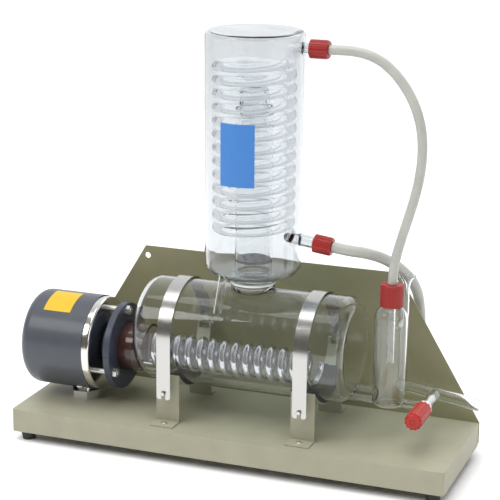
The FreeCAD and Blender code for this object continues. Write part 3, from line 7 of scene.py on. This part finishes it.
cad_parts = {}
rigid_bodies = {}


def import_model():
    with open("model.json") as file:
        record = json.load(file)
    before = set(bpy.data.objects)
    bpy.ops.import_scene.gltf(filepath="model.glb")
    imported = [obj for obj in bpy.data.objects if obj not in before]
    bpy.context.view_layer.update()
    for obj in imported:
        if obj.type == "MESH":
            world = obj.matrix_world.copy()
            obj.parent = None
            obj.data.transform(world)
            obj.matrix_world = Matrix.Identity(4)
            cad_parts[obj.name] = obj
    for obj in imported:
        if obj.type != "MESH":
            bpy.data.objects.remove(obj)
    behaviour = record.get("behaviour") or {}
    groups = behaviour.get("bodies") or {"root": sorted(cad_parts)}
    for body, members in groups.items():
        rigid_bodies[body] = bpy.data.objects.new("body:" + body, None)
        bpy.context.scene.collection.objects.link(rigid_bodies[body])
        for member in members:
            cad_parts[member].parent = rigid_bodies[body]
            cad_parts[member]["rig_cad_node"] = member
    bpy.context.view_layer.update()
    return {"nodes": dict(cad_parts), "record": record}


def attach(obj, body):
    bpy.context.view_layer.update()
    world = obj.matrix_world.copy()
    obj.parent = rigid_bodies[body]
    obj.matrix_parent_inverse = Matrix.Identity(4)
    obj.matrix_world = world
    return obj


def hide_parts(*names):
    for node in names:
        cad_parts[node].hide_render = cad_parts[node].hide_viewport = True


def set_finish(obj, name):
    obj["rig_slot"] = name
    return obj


# The looks of a laboratory water still: steel stand, glass boiler and condenser, heater head and hoses.
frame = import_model()
NODES = frame["nodes"]
SLOT_OF = {s["node"]: s["material_slot"] for s in frame["record"]["subparts"]}
scene = bpy.context.scene

# Camera: the photograph's viewing angle
CAMERA_PLACE = (0.63378, -1.66649, 0.71922)
CAMERA_LENS = 122.49
CAMERA_YAW = 20.644
CAMERA_PITCH = 15.375
CAMERA_ROLL = 0.439
CAMERA_REACH = 40

# Finish
SHARP_EDGE_DEG = 35       # on a new piece
CAD_SHARP_EDGE_DEG = 32
CAD_SEAM = 0.000004       # points nearer than this, in metres, are one
NOISE_LOW = 0.3           # the part of a noise's range that its colours and roughness are spread over
NOISE_HIGH = 0.7
GLASS_BEND = 1.47
THIN_TUBE_BEND = 1.18
GLASS_WAVE = 0.0004
GLASS_SHADOW = (0.93, 0.95, 0.95, 1)

# Hoses: control points in metres, from each fitting outwards
OUTLET_HOSE_D = 0.0104
OUTLET_HOSE = [
    (0.0924, 0.0, 0.453), (0.112, 0.0005, 0.4536), (0.1315, 0.001, 0.4514), (0.1486, 0.001, 0.4446),
    (0.1632, 0.0005, 0.433), (0.1758, 0.0, 0.418), (0.186, -0.0005, 0.4005), (0.1924, -0.001, 0.3815),
    (0.195, -0.001, 0.362), (0.1948, -0.001, 0.344), (0.1926, -0.0005, 0.325), (0.1884, 0.0, 0.305),
    (0.1826, 0.0, 0.284), (0.1764, 0.0, 0.263), (0.171, 0.0, 0.243), (0.1678, 0.0, 0.226),
    (0.167, 0.0, 0.2094),
]
INLET_HOSE_D = 0.012
INLET_HOSE = [
    (0.1002, 0.0, 0.2425), (0.1181, 0.0, 0.2403), (0.1349, 0.0081, 0.2376), (0.1472, 0.0224, 0.2304),
    (0.1528, 0.0416, 0.2206), (0.1588, 0.0635, 0.2076), (0.165, 0.084, 0.1916), (0.1688, 0.099, 0.173),
    (0.1698, 0.1075, 0.152), (0.1702, 0.1115, 0.129), (0.17, 0.1145, 0.104), (0.1698, 0.1185, 0.077),
    (0.17, 0.1265, 0.051), (0.1706, 0.1415, 0.0285), (0.1708, 0.162, 0.0135),
]
HOSE_ROUND_STEPS = 8
HOSE_LENGTH_STEPS = 6     # between two control points
COIL_CENTRE = Vector((0.104, 0.184, 0.0))
COIL_TURN_POINTS = 20
COIL_LAYERS = [(0.066, 0.0074), (0.054, 0.0074), (0.060, 0.0177)]   # radius and height of each turn
COIL_SLIDE_SHARE = 0.22   # of a turn, spent moving on to the next one
COIL_MIDDLE_R = 0.060
INLET_TAIL = [
    (0.092, 0.244, 0.0182), (0.080, 0.2442, 0.0188), (0.068, 0.2441, 0.0168), (0.056, 0.244, 0.0118),
    (0.044, 0.244, 0.009),
]

# The straps round the put-away coil, in metres
TIE_PLACES_DEG = {"hose_tie_a": 205, "hose_tie_b": 325}
TIE_HALF_WIDTH = 0.0128
TIE_LOW = 0.0001          # height of the strap's underside
TIE_HIGH = 0.0246
TIE_CORNER_R = 0.005
TIE_THICK = 0.0012
TIE_HALF_BAND = 0.003
TIE_CORNER_STEPS = 6


def make_camera():
    yaw, pitch, roll = (math.radians(d) for d in (CAMERA_YAW, CAMERA_PITCH, CAMERA_ROLL))
    ahead = Vector((-math.sin(yaw) * math.cos(pitch), math.cos(yaw) * math.cos(pitch), -math.sin(pitch)))
    right = Vector((math.cos(yaw), math.sin(yaw), 0.0))
    up = right.cross(ahead)
    across = right * math.cos(roll) + up * math.sin(roll)
    above = up * math.cos(roll) - right * math.sin(roll)
    data = bpy.data.cameras.new("camera")
    data.lens = CAMERA_LENS
    data.clip_end = CAMERA_REACH
    camera = bpy.data.objects.new("camera", data)
    scene.collection.objects.link(camera)
    turned = Matrix((across, above, -ahead)).transposed()
    camera.matrix_world = Matrix.Translation(CAMERA_PLACE) @ turned.to_4x4()
    scene.camera = camera


def coil_points():
    """The put-away turns, from where the hose lands on the floor, as a flat two-layer bundle."""
    points = []
    turns = len(COIL_LAYERS)
    quarter = COIL_TURN_POINTS // 4
    for i in range(turns * COIL_TURN_POINTS + quarter + 1):
        at = i / COIL_TURN_POINTS
        turn = min(int(at), turns - 1)
        share = at - turn
        radius, height = COIL_LAYERS[turn]
        if turn + 1 < turns and share > 1 - COIL_SLIDE_SHARE:
            t = (share - 1 + COIL_SLIDE_SHARE) / COIL_SLIDE_SHARE
            ease = t * t * (3 - 2 * t)
            radius += (COIL_LAYERS[turn + 1][0] - radius) * ease
            height += (COIL_LAYERS[turn + 1][1] - height) * ease
        angle = 2 * math.pi * at
        points.append(COIL_CENTRE + Vector((radius * math.cos(angle), radius * math.sin(angle), height)))
    return points


def hose_curve(name, points, diameter):
    """A tube along the points; its thickness is in each point's radius."""
    data = bpy.data.curves.new(name, "CURVE")
    data.dimensions = "3D"
    data.bevel_depth = 1.0
    data.bevel_resolution = HOSE_ROUND_STEPS
    data.resolution_u = HOSE_LENGTH_STEPS
    data.use_fill_caps = True
    spline = data.splines.new("NURBS")
    spline.points.add(len(points) - 1)
    for point, place in zip(spline.points, points):
        point.co = (*place, 1.0)
        point.radius = diameter / 2
    spline.order_u = 3
    spline.use_endpoint_u = True
    hose = bpy.data.objects.new(name, data)
    scene.collection.objects.link(hose)
    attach(hose, "stand")
    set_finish(hose, "silicone_hose")
    return hose


def mesh_piece(name, verts, faces, body, slot):
    """A new mesh piece that rides on a body, with its sharp edges kept by angle."""
    mesh = bpy.data.meshes.new(name)
    mesh.from_pydata([tuple(v) for v in verts], [], faces)
    mesh.validate()
    mesh.update()
    mesh.shade_smooth()
    mesh.set_sharp_from_angle(angle=math.radians(SHARP_EDGE_DEG))
    piece = bpy.data.objects.new(name, mesh)
    scene.collection.objects.link(piece)
    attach(piece, body)
    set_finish(piece, slot)
    return piece


def ring_faces(rows, columns):
    """Quads over closed rings of points: the rows follow each other and meet, and so do the columns."""
    faces = []
    for i in range(rows):
        j = (i + 1) % rows
        for k in range(columns):
            n = (k + 1) % columns
            faces.append((i * columns + k, i * columns + n, j * columns + n, j * columns + k))
    return faces


def tie_path():
    """The tie's outline, seen along the hose: each place with the way out, round four corners."""
    path = []
    for side, top, start in ((1, 1, 0), (-1, 1, 90), (-1, -1, 180), (1, -1, 270)):
        corner_x = side * (TIE_HALF_WIDTH - TIE_CORNER_R)
        corner_z = TIE_HIGH - TIE_CORNER_R if top > 0 else TIE_LOW + TIE_CORNER_R
        for step in range(TIE_CORNER_STEPS + 1):
            a = math.radians(start + 90 * step / TIE_CORNER_STEPS)
            path.append((corner_x, corner_z, math.cos(a), math.sin(a)))
    return path


def make_tie(name, angle_deg):
    """A strap tied round the put-away turns at one angle of the coil."""
    a = math.radians(angle_deg)
    out = Vector((math.cos(a), math.sin(a), 0))
    along = Vector((-math.sin(a), math.cos(a), 0))
    centre = COIL_CENTRE + out * COIL_MIDDLE_R
    inner_r = TIE_CORNER_R - TIE_THICK
    verts = []
    for x, z, way_x, way_z in tie_path():
        for r, side in ((TIE_CORNER_R, -1), (TIE_CORNER_R, 1), (inner_r, 1), (inner_r, -1)):
            across = out * (x + way_x * r) + Vector((0, 0, z + way_z * r))
            verts.append(centre + across + along * side * TIE_HALF_BAND)
    return mesh_piece(name, verts, ring_faces(len(tie_path()), 4), "stand", "black_rubber")


make_camera()
outlet_hose = hose_curve("outlet_hose_tube", OUTLET_HOSE, OUTLET_HOSE_D)
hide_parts("outlet_hose")
inlet_hose = hose_curve("inlet_hose_tube", INLET_HOSE + coil_points() + INLET_TAIL, INLET_HOSE_D)
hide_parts("inlet_hose", "inlet_hose_coil")
ties = [make_tie(name, angle) for name, angle in TIE_PLACES_DEG.items()]


# Materials
class Look:
    """One material: a Principled shader with procedural detail in the object's own coordinates."""

    def __init__(self, name, colour, roughness, metallic=0.0):
        self.material = bpy.data.materials.new(name)
        self.material.use_nodes = True
        self.tree = self.material.node_tree
        self.shader = self.tree.nodes["Principled BSDF"]
        self.set("Base Color", (*colour, 1.0))
        self.set("Roughness", roughness)
        self.set("Metallic", metallic)
        self.place = self.node("ShaderNodeTexCoord").outputs["Object"]

    def node(self, kind, **values):
        made = self.tree.nodes.new(kind)
        for key, value in values.items():
            setattr(made, key, value)
        return made

    def link(self, a, b):
        self.tree.links.new(a, b)

    def set(self, socket, value):
        self.shader.inputs[socket].default_value = value

    def noise(self, scale, detail):
        """Noise with that many features per metre."""
        noise = self.node("ShaderNodeTexNoise")
        noise.inputs["Scale"].default_value = scale
        noise.inputs["Detail"].default_value = detail
        self.link(self.place, noise.inputs["Vector"])
        return noise.outputs["Fac"]

    def span(self, value, low, high):
        """A noise remapped to low..high."""
        remap = self.node("ShaderNodeMapRange")
        remap.inputs["From Min"].default_value = NOISE_LOW
        remap.inputs["From Max"].default_value = NOISE_HIGH
        remap.inputs["To Min"].default_value = low
        remap.inputs["To Max"].default_value = high
        self.link(value, remap.inputs["Value"])
        return remap.outputs[0]

    def colour(self, value, first, second):
        """The base colour, going from the first to the second with the value."""
        mix = self.node("ShaderNodeMix", data_type="RGBA")
        mix.inputs["A"].default_value = (*first, 1)
        mix.inputs["B"].default_value = (*second, 1)
        self.link(value, mix.inputs["Factor"])
        self.link(mix.outputs["Result"], self.shader.inputs["Base Color"])

    def mottle(self, noise, base, low, high):
        """The base colour, made that much darker and paler by a noise."""
        self.colour(self.span(noise, 0, 1), shade(base, low), shade(base, high))

    def rough(self, value, low, high):
        self.link(self.span(value, low, high), self.shader.inputs["Roughness"])

    def bump(self, value, depth, strength):
        bump = self.node("ShaderNodeBump")
        bump.inputs["Distance"].default_value = depth
        bump.inputs["Strength"].default_value = strength
        self.link(value, bump.inputs["Height"])
        self.link(bump.outputs[0], self.shader.inputs["Normal"])


def shade(colour, factor):
    return tuple(min(1.0, c * factor) for c in colour)


def powder_coat(name, base):
    look = Look(name, base, roughness=0.5)
    look.mottle(look.noise(scale=35, detail=5), base, low=0.95, high=1.05)
    grain = look.noise(scale=1400, detail=2)
    look.rough(grain, low=0.42, high=0.6)
    look.bump(grain, depth=0.00012, strength=0.5)
    look.set("Coat Weight", 0.12)
    look.set("Coat Roughness", 0.35)
    return look.material


def plastic(name, colour, roughness, grain, depth, spread, coat=0.0):
    look = Look(name, colour, roughness)
    look.mottle(look.noise(scale=60, detail=4), colour, 1 - spread, 1 + spread)
    fine = look.noise(grain, detail=3)
    look.rough(fine, low=roughness * 0.85, high=roughness * 1.2)
    look.bump(fine, depth, strength=0.6)
    look.set("Coat Weight", coat)
    look.set("Coat Roughness", 0.12)
    return look.material


def metal(name, colour, roughness, grain, depth=0.00002, spread=0.04):
    look = Look(name, colour, roughness, metallic=1.0)
    fine = look.noise(grain, detail=4)
    look.mottle(fine, colour, 1 - spread, 1 + spread)
    look.rough(fine, low=roughness * 0.75, high=roughness * 1.35)
    look.bump(fine, depth, strength=0.5)
    return look.material


def clear_glass(name, tint, bend=GLASS_BEND):
    """Blown glass: clear, faintly wavy, and open to the light that falls on what is behind it."""
    look = Look(name, tint, roughness=0.0)
    look.set("Transmission Weight", 1.0)
    look.set("IOR", bend)
    look.bump(look.noise(scale=22, detail=1), GLASS_WAVE, strength=0.25)
    light = look.node("ShaderNodeLightPath")
    hole = look.node("ShaderNodeBsdfTransparent")
    hole.inputs[0].default_value = GLASS_SHADOW
    mix = look.node("ShaderNodeMixShader")
    look.link(light.outputs["Is Shadow Ray"], mix.inputs[0])
    look.link(look.shader.outputs[0], mix.inputs[1])
    look.link(hole.outputs[0], mix.inputs[2])
    look.link(mix.outputs[0], look.tree.nodes["Material Output"].inputs["Surface"])
    return look.material


def silicone_tube():
    base = (0.42, 0.425, 0.39)
    look = Look("silicone_tube", base, roughness=0.32)
    look.mottle(look.noise(scale=45, detail=3), base, low=0.93, high=1.05)
    look.rough(look.noise(scale=300, detail=3), low=0.25, high=0.42)
    look.bump(look.noise(scale=90, detail=2), depth=0.0003, strength=0.3)
    look.set("Subsurface Weight", 0.35)
    look.set("Subsurface Radius", (0.004, 0.004, 0.0038))
    look.set("Subsurface Scale", 1.0)
    look.set("Coat Weight", 0.2)
    look.set("Coat Roughness", 0.2)
    return look.material


LOOKS = {
    "painted_stand": powder_coat("powder_coat", (0.33, 0.32, 0.235)),
    "black_rubber": plastic("black_rubber", (0.022, 0.022, 0.024), 0.62,
                            grain=900, depth=0.0001, spread=0.15),
    "zinc_screws": metal("zinc_plate", (0.62, 0.62, 0.6), 0.34, grain=500),
    "chromed_fittings": metal("chromed_brass", (0.78, 0.78, 0.79), 0.16, grain=400),
    "satin_steel": metal("satin_steel", (0.55, 0.545, 0.53), 0.2, grain=900, depth=0.000002, spread=0.03),
    "polished_steel": metal("polished_steel", (0.74, 0.73, 0.7), 0.12, grain=250),
    "glass": clear_glass("borosilicate_glass", (0.945, 0.955, 0.958)),
    "heater_chrome": metal("heater_tube", (0.64, 0.66, 0.7), 0.05, grain=180, depth=0.00001, spread=0.06),
    "red_silicone": plastic("stopper_silicone", (0.06, 0.014, 0.011), 0.55,
                            grain=300, depth=0.0001, spread=0.1),
    "flange_plastic": plastic("flange_plastic", (0.035, 0.042, 0.065), 0.42,
                              grain=800, depth=0.00008, spread=0.08, coat=0.1),
    "cover_plastic": plastic("cover_plastic", (0.058, 0.066, 0.08), 0.38,
                             grain=1100, depth=0.00008, spread=0.04, coat=0.15),
    "white_ceramic": plastic("glazed_ceramic", (0.8, 0.78, 0.73), 0.25,
                             grain=200, depth=0.00008, spread=0.03, coat=0.3),
    "terminal_brass": metal("terminal_brass", (0.72, 0.53, 0.25), 0.26, grain=400),
    "cutout_metal": metal("cutout_metal", (0.66, 0.66, 0.67), 0.3, grain=400),
    "yellow_label": plastic("yellow_label", (0.66, 0.40, 0.004), 0.42,
                            grain=500, depth=0.00003, spread=0.03, coat=0.1),
    "blue_label": plastic("blue_label", (0.04, 0.19, 0.53), 0.42,
                          grain=500, depth=0.00003, spread=0.03, coat=0.05),
    "white_gasket": plastic("white_silicone", (0.8, 0.8, 0.78), 0.45,
                            grain=300, depth=0.00006, spread=0.03),
    "white_ptfe": plastic("white_ptfe", (0.82, 0.82, 0.81), 0.35, grain=400, depth=0.00004, spread=0.02),
    "dark_ptfe": plastic("dark_ptfe", (0.012, 0.012, 0.013), 0.5, grain=400, depth=0.00005, spread=0.1),
    "red_cap": plastic("red_cap_plastic", (0.29, 0.005, 0.002), 0.36,
                       grain=700, depth=0.00005, spread=0.06, coat=0.04),
    "red_knob": plastic("red_knob_plastic", (0.38, 0.012, 0.006), 0.38,
                        grain=700, depth=0.00005, spread=0.05, coat=0.04),
    "silicone_hose": silicone_tube(),
}


def edge_finish():
    """A node group that joins the CAD faces' seams and keeps only real corners sharp."""
    tree = bpy.data.node_groups.new("edge_finish", "GeometryNodeTree")
    tree.interface.new_socket("Geometry", in_out="INPUT", socket_type="NodeSocketGeometry")
    tree.interface.new_socket("Geometry", in_out="OUTPUT", socket_type="NodeSocketGeometry")
    made = {}
    for key, kind in (("in", "NodeGroupInput"), ("merge", "GeometryNodeMergeByDistance"),
                      ("faces", "GeometryNodeSetShadeSmooth"), ("edges", "GeometryNodeSetShadeSmooth"),
                      ("angle", "GeometryNodeInputMeshEdgeAngle"), ("sharp", "FunctionNodeCompare"),
                      ("out", "NodeGroupOutput")):
        made[key] = tree.nodes.new(kind)
    made["merge"].inputs["Distance"].default_value = CAD_SEAM
    made["edges"].domain = "EDGE"
    made["edges"].inputs["Shade Smooth"].default_value = False
    made["sharp"].data_type = "FLOAT"
    made["sharp"].operation = "GREATER_THAN"
    made["sharp"].inputs[1].default_value = math.radians(CAD_SHARP_EDGE_DEG)
    link = tree.links.new
    link(made["in"].outputs[0], made["merge"].inputs["Geometry"])
    link(made["merge"].outputs["Geometry"], made["faces"].inputs["Geometry"])
    link(made["faces"].outputs["Geometry"], made["edges"].inputs["Geometry"])
    link(made["angle"].outputs["Unsigned Angle"], made["sharp"].inputs[0])
    link(made["sharp"].outputs["Result"], made["edges"].inputs["Selection"])
    link(made["edges"].outputs["Geometry"], made["out"].inputs[0])
    return tree


# A tube of thin wall, drawn solid in the CAD, bends the light less than solid glass does. The glass of the
# jacket is greyer. The panel's coat is the stand's paint made darker and warmer: painted shade on its face
OWN_LOOKS = {
    "condenser_jacket": clear_glass("jacket_glass", (0.79, 0.81, 0.825)),
    "cooling_coil": clear_glass("thin_glass_tube", (0.96, 0.968, 0.978), THIN_TUBE_BEND),
    # painted shade: the panel is the stand's own paint, darkened for a face that gets less light
    "back_panel": powder_coat("powder_coat_panel_painted_shade", (0.235, 0.222, 0.125)),
}
finish_edges = edge_finish()
for name, node in NODES.items():
    node.data.materials.clear()
    node.data.materials.append(OWN_LOOKS.get(name) or LOOKS[SLOT_OF[name]])
    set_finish(node, SLOT_OF[name])
    node.modifiers.new("edges", "NODES").node_group = finish_edges
for piece in [o for o in scene.objects if o.get("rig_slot") and "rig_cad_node" not in o]:
    piece.data.materials.append(LOOKS[piece["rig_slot"]])


# Studio
FLOOR_SIZE = 14.0
FLOOR_STEPS = 24
FLOOR_COLOUR = (0.94, 0.94, 0.94)
FLOOR_COOL = (0.935, 0.935, 0.937)
FLOOR_WARM = (0.945, 0.945, 0.943)
SUBJECT = Vector((0, 0, 0.2))
SKY_POWER = 1.9
SKY_SPREAD_DEG = 70
SKY_WAY = Vector((0.25, 0.4, -1))
ROOM_DIM = (0.15, 0.14, 0.12, 1)
ROOM_DIM_UNTIL = 0.15     # of the way from behind the camera to behind the object
ROOM_BRIGHT = (0.97, 0.985, 1, 1)
ROOM_BRIGHT_FROM = 0.8
GLASS_BOUNCES = 24
METAL_BOUNCES = 8


def make_floor():
    rows = FLOOR_STEPS + 1
    places = [FLOOR_SIZE * (i / FLOOR_STEPS - 0.5) for i in range(rows)]
    verts = [(x, y, 0.0) for x in places for y in places]
    faces = [(i * rows + j, (i + 1) * rows + j, (i + 1) * rows + j + 1, i * rows + j + 1)
             for i in range(FLOOR_STEPS) for j in range(FLOOR_STEPS)]
    mesh = bpy.data.meshes.new("floor")
    mesh.from_pydata(verts, [], faces)
    floor = bpy.data.objects.new("floor", mesh)
    scene.collection.objects.link(floor)
    look = Look("floor", FLOOR_COLOUR, roughness=0.55)
    look.colour(look.noise(scale=3, detail=2), FLOOR_COOL, FLOOR_WARM)
    mesh.materials.append(look.material)


def make_light(name, place, size, power):
    """A soft box that faces the object."""
    data = bpy.data.lights.new(name, "AREA")
    data.shape = "RECTANGLE"
    data.size, data.size_y = size
    data.energy = power
    light = bpy.data.objects.new(name, data)
    light.visible_transmission = False
    scene.collection.objects.link(light)
    light.location = place
    light.rotation_euler = (SUBJECT - light.location).to_track_quat("-Z", "Y").to_euler()


def make_sky():
    """An even, very soft light from above, so that the floor is as pale far off as it is near."""
    data = bpy.data.lights.new("sky", "SUN")
    data.energy = SKY_POWER
    data.angle = math.radians(SKY_SPREAD_DEG)
    light = bpy.data.objects.new("sky", data)
    scene.collection.objects.link(light)
    light.rotation_euler = SKY_WAY.to_track_quat("-Z", "Y").to_euler()
    light.visible_glossy = False
    light.visible_transmission = False


def make_world():
    """A soft room, bright behind the object and dim behind the camera: glass and metal keep their edges."""
    world = bpy.data.worlds.new("studio")
    world.use_nodes = True
    tree = world.node_tree
    place = tree.nodes.new("ShaderNodeTexCoord")
    split = tree.nodes.new("ShaderNodeSeparateXYZ")
    ramp = tree.nodes.new("ShaderNodeValToRGB")
    half = tree.nodes.new("ShaderNodeMath")
    half.operation = "MULTIPLY_ADD"
    half.inputs[1].default_value = 0.5
    half.inputs[2].default_value = 0.5
    ramp.color_ramp.elements[0].position = ROOM_DIM_UNTIL
    ramp.color_ramp.elements[0].color = ROOM_DIM
    ramp.color_ramp.elements[1].position = ROOM_BRIGHT_FROM
    ramp.color_ramp.elements[1].color = ROOM_BRIGHT
    tree.links.new(place.outputs["Generated"], split.inputs[0])
    tree.links.new(split.outputs["Y"], half.inputs[0])
    tree.links.new(half.outputs[0], ramp.inputs[0])
    tree.links.new(ramp.outputs[0], tree.nodes["Background"].inputs["Color"])
    tree.nodes["Background"].inputs["Strength"].default_value = 1.0
    scene.world = world


make_floor()
make_world()
make_sky()
make_light("top", place=(-0.2, -0.3, 2.3), size=(1.7, 1.2), power=16)
make_light("key", place=(-1.4, -1.6, 1.8), size=(0.9, 1.0), power=15)
make_light("fill", place=(1.9, -1.2, 1.2), size=(0.7, 1.5), power=7)
make_light("back", place=(0.4, 2.0, 1.9), size=(1.8, 0.9), power=8)
scene.view_settings.view_transform = "Standard"
scene.cycles.max_bounces = GLASS_BOUNCES
scene.cycles.transmission_bounces = GLASS_BOUNCES
scene.cycles.transparent_max_bounces = GLASS_BOUNCES
scene.cycles.glossy_bounces = METAL_BOUNCES

bpy.context.view_layer.update()
